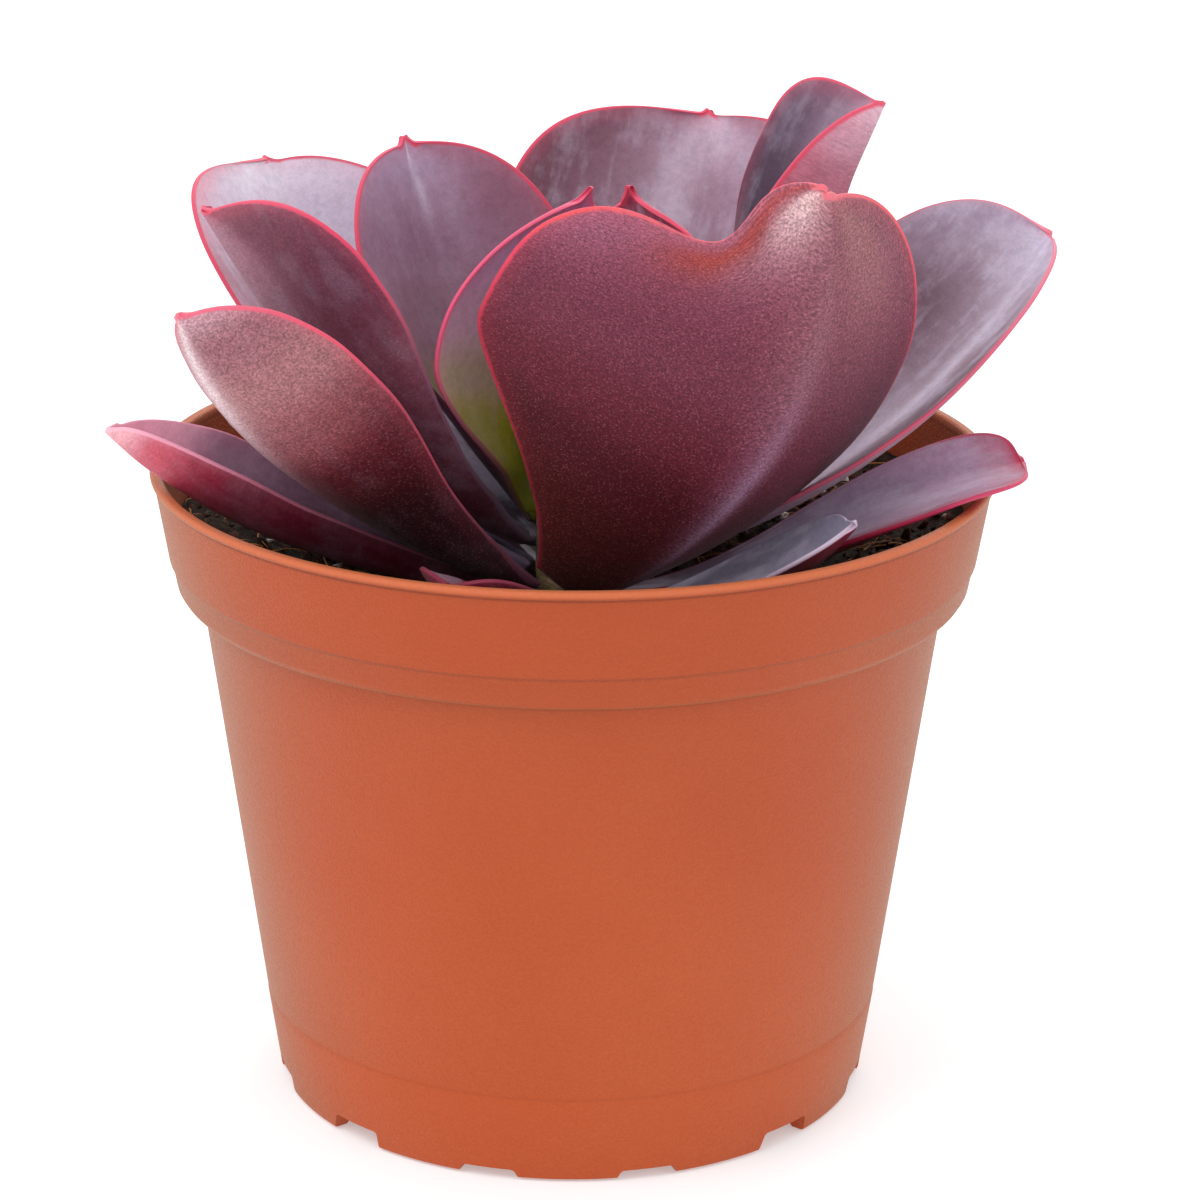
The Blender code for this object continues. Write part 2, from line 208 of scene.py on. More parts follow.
def storeValues(mesh, name, kind, values):
    field = {"FLOAT": "value", "FLOAT_COLOR": "color", "FLOAT_VECTOR": "vector"}[kind]
    mesh.attributes.new(name, kind, "POINT").data.foreach_set(field, values)


def flattened(rows):
    return [number for row in rows for number in row]


def newMaterial(name):
    material = bpy.data.materials.new(name)
    material.use_nodes = True
    tree = material.node_tree
    return material, tree, tree.nodes["Principled BSDF"]


def bumpInto(tree, shader, height, distance, strength=1.0):
    made = addNode(tree, "ShaderNodeBump", Height=height, Distance=distance, Strength=strength)
    tree.links.new(made.outputs[0], shader.inputs["Normal"])


# Fine speckle of a given grain size, shared by pot, leaves and soil
def makeSpeckle():
    group = bpy.data.node_groups.new("fineSpeckle", "ShaderNodeTree")
    for name, kind in (("Vector", "NodeSocketVector"), ("Scale", "NodeSocketFloat")):
        group.interface.new_socket(name=name, in_out="INPUT", socket_type=kind)
    for name in ("Value", "Sparkle"):
        group.interface.new_socket(name=name, in_out="OUTPUT", socket_type="NodeSocketFloat")
    start = group.nodes.new("NodeGroupInput")
    end = group.nodes.new("NodeGroupOutput")
    rough = noiseNode(group, start.outputs["Vector"], start.outputs["Scale"], 2.5, 0.75)
    cells = addNode(group, "ShaderNodeTexVoronoi", Vector=start.outputs["Vector"], Scale=start.outputs["Scale"])
    group.links.new(rampBetween(group, rough, 0.32, 0.68), end.inputs["Value"])
    sparkle = inverted(group, rampBetween(group, cells.outputs["Distance"], 0.05, 0.45))
    group.links.new(sparkle, end.inputs["Sparkle"])
    return group


fineSpeckle = makeSpeckle()


def speckleNode(tree, vector, scale):
    made = tree.nodes.new("ShaderNodeGroup")
    made.node_tree = fineSpeckle
    made.inputs["Scale"].default_value = scale
    tree.links.new(vector, made.inputs["Vector"])
    return made.outputs["Value"], made.outputs["Sparkle"]


# Floor
clearSelection()
bpy.ops.mesh.primitive_plane_add(size=studio["floorSize"], location=(0, 0, -studio["floorDrop"]))
floor = bpy.context.object
floor.name = "floor"
floorMaterial, floorTree, floorShader = newMaterial("floor")
floorShader.inputs["Base Color"].default_value = srgb(*studio["floorColour"])
floorShader.inputs["Roughness"].default_value = 0.9
floorShader.inputs["Emission Color"].default_value = (1, 1, 1, 1)
floorShader.inputs["Emission Strength"].default_value = studio["floorGlow"]
floor.data.materials.append(floorMaterial)
print("studio ready")


# Pot: rings drawn from the middle of its inside floor, up over the lip and down to the foot
pot = dict(
    rim=60.0, height=92.4, lipHeight=1.2, lipProud=0.5, lipWidth=1.7, tierHeight=79.7, tierRadius=57.6,
    tierStep=0.4, collarHeight=74.6, collarRadius=55.4, bodyTop=53.2, foot=43.1, crease=13.2, creaseDepth=0.15,
    wall=1.2, floorTop=4.4, floorUnder=3.0, footWidth=2.4, sides=192, smoothAngle=35,
    notchCount=12, notchStart=-105, notchAngle=13.0, notchShallow=1.3, notchDeep=2.6, notchSlant=1.2,
    notchSteep=0.25, notchRound=0.5,
    drainRing=27.0, drainRadius=4.0, drainCount=6, drainMiddle=3.7, drainDepth=4, drainSides=40,
)


def potRadius(height):
    return pot["foot"] + (pot["bodyTop"] - pot["foot"]) * height / pot["collarHeight"]


def roundCorner(centre, radius, start, end, count):
    points = []
    for index in range(count + 1):
        angle = math.radians(start + (end - start) * index / count)
        points.append((centre[0] + radius * math.cos(angle), centre[1] + radius * math.sin(angle)))
    return points


def potRings():
    wall, top, foot, crease = pot["wall"], pot["height"], pot["foot"], pot["crease"]
    tier, tierHeight, step = pot["tierRadius"], pot["tierHeight"], pot["tierStep"]
    collar, collarHeight = pot["collarRadius"], pot["collarHeight"]
    lip = pot["lipHeight"] / 2
    inner = pot["rim"] - pot["lipWidth"]
    underLip = top - pot["lipHeight"]
    neck = pot["rim"] - pot["lipProud"] - 0.05
    shoulder = collarHeight - wall
    creased = potRadius(crease) - pot["creaseDepth"]
    footInside = foot - pot["footWidth"]
    return [
        (6, pot["floorTop"]),
        (potRadius(4) - wall - 2, pot["floorTop"]),
        (potRadius(5) - wall - 0.7, pot["floorTop"] + 0.5),
        (potRadius(6) - wall, pot["floorTop"] + 2),
        (potRadius(shoulder) - wall, shoulder),
        (collar - wall, collarHeight + wall),
        (tier - step - wall, tierHeight + wall),
        (inner, underLip),
        *roundCorner((inner + lip, top - lip), lip, 160, 95, 4),
        *roundCorner((pot["rim"] - lip, top - lip), lip, 85, -50, 9),
        (neck, underLip - 0.02),
        (neck, underLip - 0.3),
        (tier + 0.05, tierHeight + 0.4),
        (tier, tierHeight + 0.1),
        (tier - 0.15, tierHeight - 0.15),
        (tier - step, tierHeight - step),
        (collar + 1.2, collarHeight + 1.4),
        (collar + 0.8, collarHeight + 0.75),
        (collar + 0.3, collarHeight + 0.25),
        (collar - 0.5, collarHeight),
        (potRadius(collarHeight) + 0.5, collarHeight - 0.05),
        (potRadius(collarHeight) + 0.1, collarHeight - 0.35),
        (potRadius(collarHeight - 1), collarHeight - 1),
        (potRadius(44), 44),
        (potRadius(crease + 0.9), crease + 0.9),
        (creased, crease + 0.15),
        (creased, crease - 0.2),
        (potRadius(crease) - 0.05, crease - 0.9),
        (foot, 0.6),
        (foot - 0.15, 0.15),
        (foot - 0.6, 0),
        (footInside + 0.3, 0),
        (footInside, 0.3),
        (footInside, pot["floorUnder"]),
        (6, pot["floorUnder"]),
    ]


def turnedPiece(rings, sides):
    clearSelection()
    radius, height = rings[0]
    bpy.ops.mesh.primitive_circle_add(
        vertices=sides, radius=radius * mm, fill_type="NGON", location=(0, 0, height * mm))
    piece = bpy.context.object
    bpy.ops.object.transform_apply(location=True, rotation=False, scale=False)
    bpy.ops.object.mode_set(mode="EDIT")
    bpy.ops.mesh.select_mode(type="EDGE")
    bpy.ops.mesh.select_all(action="SELECT")
    bpy.ops.mesh.region_to_loop()
    for nextRadius, nextHeight in rings[1:]:
        bpy.ops.mesh.extrude_edges_move(TRANSFORM_OT_translate={"value": (0, 0, (nextHeight - height) * mm)})
        share = nextRadius / radius
        bpy.ops.transform.resize(value=(share, share, 1), center_override=(0, 0, nextHeight * mm))
        radius, height = nextRadius, nextHeight
    bpy.ops.mesh.edge_face_add()
    bpy.ops.mesh.select_all(action="SELECT")
    bpy.ops.mesh.normals_make_consistent(inside=False)
    bpy.ops.object.mode_set(mode="OBJECT")
    return piece


def cutNotch(index):
    deep = index // 2 % 2 == 1
    height = pot["notchDeep"] if deep else pot["notchShallow"]
    heading = math.radians(pot["notchStart"]) + index * math.tau / pot["notchCount"]
    clearSelection()
    bpy.ops.mesh.primitive_cube_add(size=1)
    cutter = bpy.context.object
    inner = pot["foot"] - pot["footWidth"] - 0.6
    for vertex in cutter.data.vertices:
        radius = pot["foot"] + 2 if vertex.co.x > 0 else inner
        top = vertex.co.z > 0
        slant = pot["notchSteep"] if vertex.co.y > 0 and deep else pot["notchSlant"]
        spread = math.radians(pot["notchAngle"] / 2) - (slant / pot["foot"] if top else 0)
        angle = heading + math.copysign(spread, vertex.co.y)
        vertex.co = Vector((radius * math.cos(angle), radius * math.sin(angle), height if top else -1)) * mm
    bevel = cutter.modifiers.new("Rounded", "BEVEL")
    bevel.width = pot["notchRound"] * mm
    bevel.segments = 3
    applyModifier(cutter, "Rounded")
    return cutter


def makePot():
    piece = turnedPiece(potRings(), pot["sides"])
    cutters = [cutNotch(index) for index in range(pot["notchCount"])]
    ring = pot["drainRing"] * mm
    for index in range(pot["drainCount"]):
        angle = math.tau * index / pot["drainCount"]
        clearSelection()
        bpy.ops.mesh.primitive_cylinder_add(
            vertices=pot["drainSides"], radius=pot["drainRadius"] * mm, depth=pot["drainDepth"] * mm,
            location=(ring * math.cos(angle), ring * math.sin(angle), pot["drainMiddle"] * mm))
        cutters.append(bpy.context.object)
    makeActive(cutters[0], cutters[1:])
    bpy.ops.object.join()
    cutter = bpy.context.object
    cut = piece.modifiers.new("Openings", "BOOLEAN")
    cut.object = cutter
    cut.operation = "DIFFERENCE"
    cut.solver = "EXACT"
    applyModifier(piece, "Openings")
    bpy.data.objects.remove(cutter)
    bpy.ops.object.shade_smooth_by_angle(angle=math.radians(pot["smoothAngle"]))
    return piece


# Pot look: shade is the colour of the painted shade lines under the collar, at the tier step, under the lip and in
# the crease; edge is the painted highlight along the top of the lip; the grazing tint is a painted reflection of the
# white surroundings on the turning sides.
potLook = dict(
    colour=(184, 76, 22), pale=(188, 83, 31), dark=(148, 52, 15), shade=(96, 30, 12), edge=(226, 128, 84),
    grazingReflection=(132, 102, 58), grazingReflectionShare=0.42, lipHighlightShare=0.45, lipHighlightLevel=91.6, upperShare=0.3, upperLevel=90.0,
    cloudScale=28, streakScale=160, streakShare=0.12, grainScale=2600, grainShare=0.24, grainDepth=0.00007,
    roughness=0.42, shadeLines=((74.3, 0.9, 0.7), (79.5, 0.4, 0.32), (91.05, 0.3, 0.4), (13.1, 0.4, 0.12)),
)


def makePotMaterial():
    material, tree, shader = newMaterial("terracottaPlastic")
    coords = objectCoords(tree)
    cloudy = noiseNode(tree, coords, potLook["cloudScale"], 4)
    streaks = noiseNode(tree, stretched(tree, coords, (1, 1, 0.08)), potLook["streakScale"], 3)
    grain = speckleNode(tree, coords, potLook["grainScale"])[0]
    height = tree.nodes.new("ShaderNodeSeparateXYZ")
    tree.links.new(coords, height.inputs[0])
    level = height.outputs[2]
    colour = mixColour(tree, rampBetween(tree, cloudy, 0.35, 0.75), srgb(*potLook["colour"]), srgb(*potLook["pale"]))
    colour = tinted(tree, colour, potLook["streakShare"], rampBetween(tree, streaks, 0.5, 0.8), potLook["pale"])
    colour = tinted(tree, colour, potLook["grainShare"], grain, potLook["dark"])
    upper = rampBetween(tree, level, 0.0, potLook["upperLevel"] * mm)
    colour = tinted(tree, colour, potLook["upperShare"], upper, potLook["dark"])
    # Painted shade: narrow dark bands under the collar, at the tier step, under the lip and in the crease.
    for lineLevel, spread, strength in potLook["shadeLines"]:
        away = mathNode(tree, "ABSOLUTE", mathNode(tree, "SUBTRACT", level, lineLevel * mm))
        line = inverted(tree, rampBetween(tree, away, 0.0, spread * mm))
        colour = tinted(tree, colour, strength, line, potLook["shade"])
    # Painted highlight: a paler band along the top of the lip.
    lipHighlightLevel = potLook["lipHighlightLevel"]
    lipHighlight = rampBetween(tree, level, (lipHighlightLevel - 0.3) * mm, (lipHighlightLevel + 0.4) * mm)
    colour = tinted(tree, colour, potLook["lipHighlightShare"], lipHighlight, potLook["edge"])
    # Painted reflection: the sides turning away from the camera are tinted greyer, as if reflecting the white
    # surroundings.
    facing = addNode(tree, "ShaderNodeLayerWeight", Blend=0.5).outputs["Facing"]
    colour = tinted(tree, colour, potLook["grazingReflectionShare"], rampBetween(tree, facing, 0.35, 1.0), potLook["grazingReflection"])
    tree.links.new(colour, shader.inputs["Base Color"])
    roughness = mathNode(tree, "MULTIPLY_ADD", grain, 0.12, potLook["roughness"])
    tree.links.new(roughness, shader.inputs["Roughness"])
    shader.inputs["Specular IOR Level"].default_value = 0.35
    shader.inputs["Sheen Weight"].default_value = 0.03
    shader.inputs["Sheen Roughness"].default_value = 0.4
    bumpInto(tree, shader, grain, potLook["grainDepth"], 0.8)
    return material


finishPiece(makePot(), "growers_pot", makePotMaterial(), ("pot",))
print("pot made")


# Potting mix: a crumbly surface with bark, fibres and white perlite lying in it
mix = dict(
    rimLevel=84.0, dip=11.0, dipWidth=30.0, crumb=0.5, crumbSize=4, radius=56.4, middle=0.6, gap=0.45,
    lumps=((0.9, 2.6), (0.55, 1.1), (0.3, 0.5)), sides=200, rings=90, seed=11,
    scatterRadius=55.4, crumbs=1500, perlite=150, perliteSize=(0.35, 0.85),
    fibres=420, fibreReach=55.6, fibreLength=(2.5, 8), fibreBend=0.9, fibreWidth=(0.07, 0.17), fibreSteps=7,
)


def mixLevel(x, y):
    dip = mix["dip"] * hump(math.hypot(x - stemX, y - stemY), 0, mix["dipWidth"])
    return mix["rimLevel"] - dip + mix["crumb"] * noise.noise(Vector((x, y, 0)) / mix["crumbSize"])


def collarInside(height):
    low = pot["tierHeight"] + pot["wall"]
    rise = pot["height"] - pot["lipHeight"] - low
    slope = (pot["rim"] - pot["lipWidth"] - pot["tierRadius"] + pot["tierStep"] + pot["wall"]) / rise
    return pot["tierRadius"] - pot["tierStep"] - pot["wall"] + slope * (height - low)


def crumbly(x, y):
    spot = Vector((x, y, 3.0))
    return mixLevel(x, y) + sum(depth * noise.noise(spot / size) for depth, size in mix["lumps"])


def makeMix():
    wall = pot["wall"] + mix["gap"]
    middle = mix["middle"]
    rings = [(middle + (mix["radius"] - middle) * index / (mix["rings"] - 1), mix["rimLevel"])
             for index in range(mix["rings"])]
    rings += [
        (collarInside(80) - mix["gap"], 80),
        (pot["collarRadius"] - wall, pot["collarHeight"] + pot["wall"]),
        (potRadius(pot["collarHeight"]) - wall - 0.1, pot["collarHeight"] - 1.5),
        (potRadius(7) - wall, 7),
        (potRadius(5) - wall - 2, pot["floorTop"] + 0.3),
        (4, pot["floorTop"] + 0.3),
    ]
    piece = turnedPiece(rings, mix["sides"])
    for vertex in piece.data.vertices:
        if vertex.co.z > (mix["rimLevel"] - 0.01) * mm:
            x, y = vertex.co.x / mm, vertex.co.y / mm
            level = crumbly(x, y)
            reach = math.hypot(x, y)
            inward = min((collarInside(level) - 0.35) / max(reach, 1), 1)
            vertex.co = Vector((x * inward, y * inward, level)) * mm
    piece.select_set(True)
    bpy.ops.object.shade_smooth()
    return piece


def makeMixMaterial():
    material, tree, shader = newMaterial("peatCrumb")
    coords = objectCoords(tree)
    lumps = noiseNode(tree, coords, 420, 6, 0.65)
    grain = speckleNode(tree, coords, 1500)[0]
    threads = noiseNode(tree, stretched(tree, coords, (1, 0.12, 1)), 1400, 3, 0.6)
    colour = mixColour(tree, rampBetween(tree, lumps, 0.35, 0.7), srgb(24, 16, 12), srgb(74, 52, 34))
    colour = tinted(tree, colour, 0.5, grain, (46, 32, 22))
    colour = tinted(tree, colour, 0.7, rampBetween(tree, threads, 0.62, 0.72), (150, 108, 62))
    tree.links.new(colour, shader.inputs["Base Color"])
    shader.inputs["Roughness"].default_value = 0.92
    shader.inputs["Specular IOR Level"].default_value = 0.25
    bumpInto(tree, shader, mathNode(tree, "ADD", lumps, grain), 0.0006, 0.8)
    return material


def spotOn(rng):
    reach = math.sqrt(rng.random()) * mix["scatterRadius"]
    angle = rng.random() * math.tau
    return reach * math.cos(angle), reach * math.sin(angle)


def takeTemplate():
    piece = bpy.context.object
    points = [vertex.co.copy() for vertex in piece.data.vertices]
    faces = [tuple(face.vertices) for face in piece.data.polygons]
    bpy.data.objects.remove(piece)
    return points, faces


def joinedPiece(name, parts):
    points = []
    faces = []
    shades = []
    for partPoints, partFaces, shade in parts:
        start = len(points)
        points += partPoints
        shades += [shade] * len(partPoints)
        faces += [tuple(index + start for index in face) for face in partFaces]
    mesh = bpy.data.meshes.new(name)
    mesh.from_pydata(points, [], faces)
    storeValues(mesh, "shade", "FLOAT", shades)
    mesh.shade_smooth()
    piece = bpy.data.objects.new(name, mesh)
    bpy.context.collection.objects.link(piece)
    return piece


def lumpAt(rng, template, where, sizes, rough):
    points, faces = template
    turned = Euler((rng.uniform(0, 6.3), rng.uniform(0, 6.3), rng.uniform(0, 6.3))).to_matrix()
    offset = Vector((rng.uniform(0, 50), rng.uniform(0, 50), rng.uniform(0, 50)))
    made = []
    for point in points:
        dented = point * (1 + rough * noise.noise(point * 1.6 + offset))
        shaped = Vector((dented.x * sizes[0], dented.y * sizes[1], dented.z * sizes[2]))
        made.append((turned @ shaped + where) * mm)
    return made, faces, rng.random()


def makeCrumbs():
    rng = random.Random(mix["seed"])
    clearSelection()
    bpy.ops.mesh.primitive_ico_sphere_add(subdivisions=1, radius=1)
    template = takeTemplate()
    parts = []
    for index in range(mix["crumbs"]):
        x, y = spotOn(rng)
        size = 0.35 + 0.9 * rng.random() ** 2.5
        sizes = (size * rng.uniform(0.8, 1.9), size * rng.uniform(0.6, 1.1), size * rng.uniform(0.35, 0.8))
        parts.append(lumpAt(rng, template, Vector((x, y, crumbly(x, y) + size * 0.2)), sizes, 0.7))
    return joinedPiece("crumbs", parts)


def makePerlite():
    rng = random.Random(mix["seed"] + 1)
    clearSelection()
    bpy.ops.mesh.primitive_ico_sphere_add(subdivisions=2, radius=1)
    template = takeTemplate()
    parts = []
    for index in range(mix["perlite"]):
        x, y = spotOn(rng)
        size = rng.uniform(*mix["perliteSize"])
        sizes = (size * rng.uniform(0.9, 1.3), size, size * rng.uniform(0.7, 1))
        parts.append(lumpAt(rng, template, Vector((x, y, crumbly(x, y) + size * 0.3)), sizes, 0.9))
    return joinedPiece("perlite", parts)


def makeFibres():
    rng = random.Random(mix["seed"] + 2)
    steps = mix["fibreSteps"]
    parts = []
    for index in range(mix["fibres"]):
        x, y = spotOn(rng)
        length = rng.uniform(*mix["fibreLength"])
        heading = rng.random() * math.tau
        bend = rng.uniform(-mix["fibreBend"], mix["fibreBend"])
        width = rng.uniform(*mix["fibreWidth"])
        points = []
        spot = Vector((x, y, 0))
        for step in range(steps + 1):
            share = step / steps
            angle = heading + bend * share
            spot = spot + Vector((math.cos(angle), math.sin(angle), 0)) * length / steps
            if math.hypot(spot.x, spot.y) > mix["fibreReach"]:
                spot *= mix["fibreReach"] / math.hypot(spot.x, spot.y)
            level = max(crumbly(spot.x, spot.y) + 0.25, mixLevel(spot.x, spot.y) + 0.5)
            level += 0.5 * math.sin(share * 3.1) * abs(bend)
            side = Vector((-math.sin(angle), math.cos(angle), 0))
            thin = width * (1.15 - share * 0.6)
            for corner in ((1, -0.5), (-1, -0.5), (0, 0.9)):
                ring = Vector((spot.x, spot.y, level)) + side * thin * corner[0] + Vector((0, 0, thin * corner[1]))
                points.append(ring * mm)
        faces = [(2, 1, 0), (steps * 3, steps * 3 + 1, steps * 3 + 2)]
        for step in range(steps):
            for corner in range(3):
                here, there = step * 3 + corner, step * 3 + (corner + 1) % 3
                faces.append((here, there, there + 3, here + 3))
        parts.append((points, faces, rng.random()))
    piece = joinedPiece("fibres", parts)
    makeActive(piece)
    bpy.ops.object.mode_set(mode="EDIT")
    bpy.ops.mesh.select_all(action="SELECT")
    bpy.ops.mesh.normals_make_consistent(inside=False)
    bpy.ops.object.mode_set(mode="OBJECT")
    return piece


def makeScatterMaterial(name, dark, light, roughness, grainScale, depth):
    material, tree, shader = newMaterial(name)
    coords = objectCoords(tree)
    shade = attributeNode(tree, "shade").outputs["Fac"]
    grain = speckleNode(tree, coords, grainScale)[0]
    share = mathNode(tree, "MULTIPLY_ADD", grain, 0.35, mathNode(tree, "MULTIPLY", shade, 0.7), clamp=True)
    tree.links.new(mixColour(tree, share, srgb(*dark), srgb(*light)), shader.inputs["Base Color"])
    shader.inputs["Roughness"].default_value = roughness
    bumpInto(tree, shader, grain, depth, 0.7)
    return material


finishPiece(makeMix(), "peat_bed", makeMixMaterial(), ("potting_mix",))
scatterLook = dict(
    crumbs=("barkCrumb", (18, 10, 7), (96, 54, 32), 0.9, 1800, 0.0002),
    fibres=("coirFibre", (120, 66, 26), (216, 146, 72), 0.7, 1500, 0.00005),
    perlite=("perlite", (196, 190, 182), (250, 248, 244), 0.85, 1600, 0.0002),
)
finishPiece(makeCrumbs(), "bark_crumbs", makeScatterMaterial(*scatterLook["crumbs"]))
finishPiece(makeFibres(), "coir_fibres", makeScatterMaterial(*scatterLook["fibres"]))
finishPiece(makePerlite(), "perlite_grains", makeScatterMaterial(*scatterLook["perlite"]))
print("potting mix made")


# Leaves. Shape in degrees and millimetres: turn is the heading round the stem, root the height on it,
# climb the midrib's slope, half the width of the right and left half, fold and curl their bend.
# Broad is where a half is widest, blunt how square its end is and swell how soon it widens.
# Dent, corner and pleat shape the tip of the front leaf. A larger fine gives a thinner edge line.
# Looks: colours along the inner and outer face from root to tip, darker near the root partly as the leaf's own
# colour and partly as painted shade where the leaves crowd round the stem, then spots of colour on one face, some of
# them painted highlights on lit tips and folds.
leafPlain = dict(
    lean=(0, 0, 0), roll=(0, 0), fold=(25, 12), curl=(20, 20), broad=(0.62, 0.62), blunt=(2.2, 2.2),
    dent=(0, 0, 1, 1), corner=(1, 0), swell=0, base=(0.15, 0.15), point=2.5, spike=0.5, clear=0.6,
    cells=(48, 34), wave=0.35,
    inner=((0, (60, 40, 48)), (0.3, (120, 88, 108)), (0.7, (140, 108, 132)), (1, (160, 130, 155))),
    outer=((0, (44, 14, 18)), (0.3, (90, 34, 50)), (0.65, (120, 68, 86)), (1, (160, 112, 128))),
    bloom=(0.6, 0.15), grain=(0.15, 0.4), pleat=(0, 0, 1), fine=1.0,
    margin=((0, (84, 60, 70)), (0.3, (126, 66, 88)), (0.55, (205, 62, 92)), (1, (222, 76, 104))),
    halo=0.16, spots=(),
)
leafShape = dict(
    stemRadius=5.0, ribSteps=80, margin=0.6, rib=3.0, rootEase=0.12,
    broadRow=0.45, pointRow=0.92, rowEase=1.25, pointWidth=1.25, pointEnd=0.12, bunching=1.25,
    ripple=0.22, rippleLong=9, rippleWide=7,
)
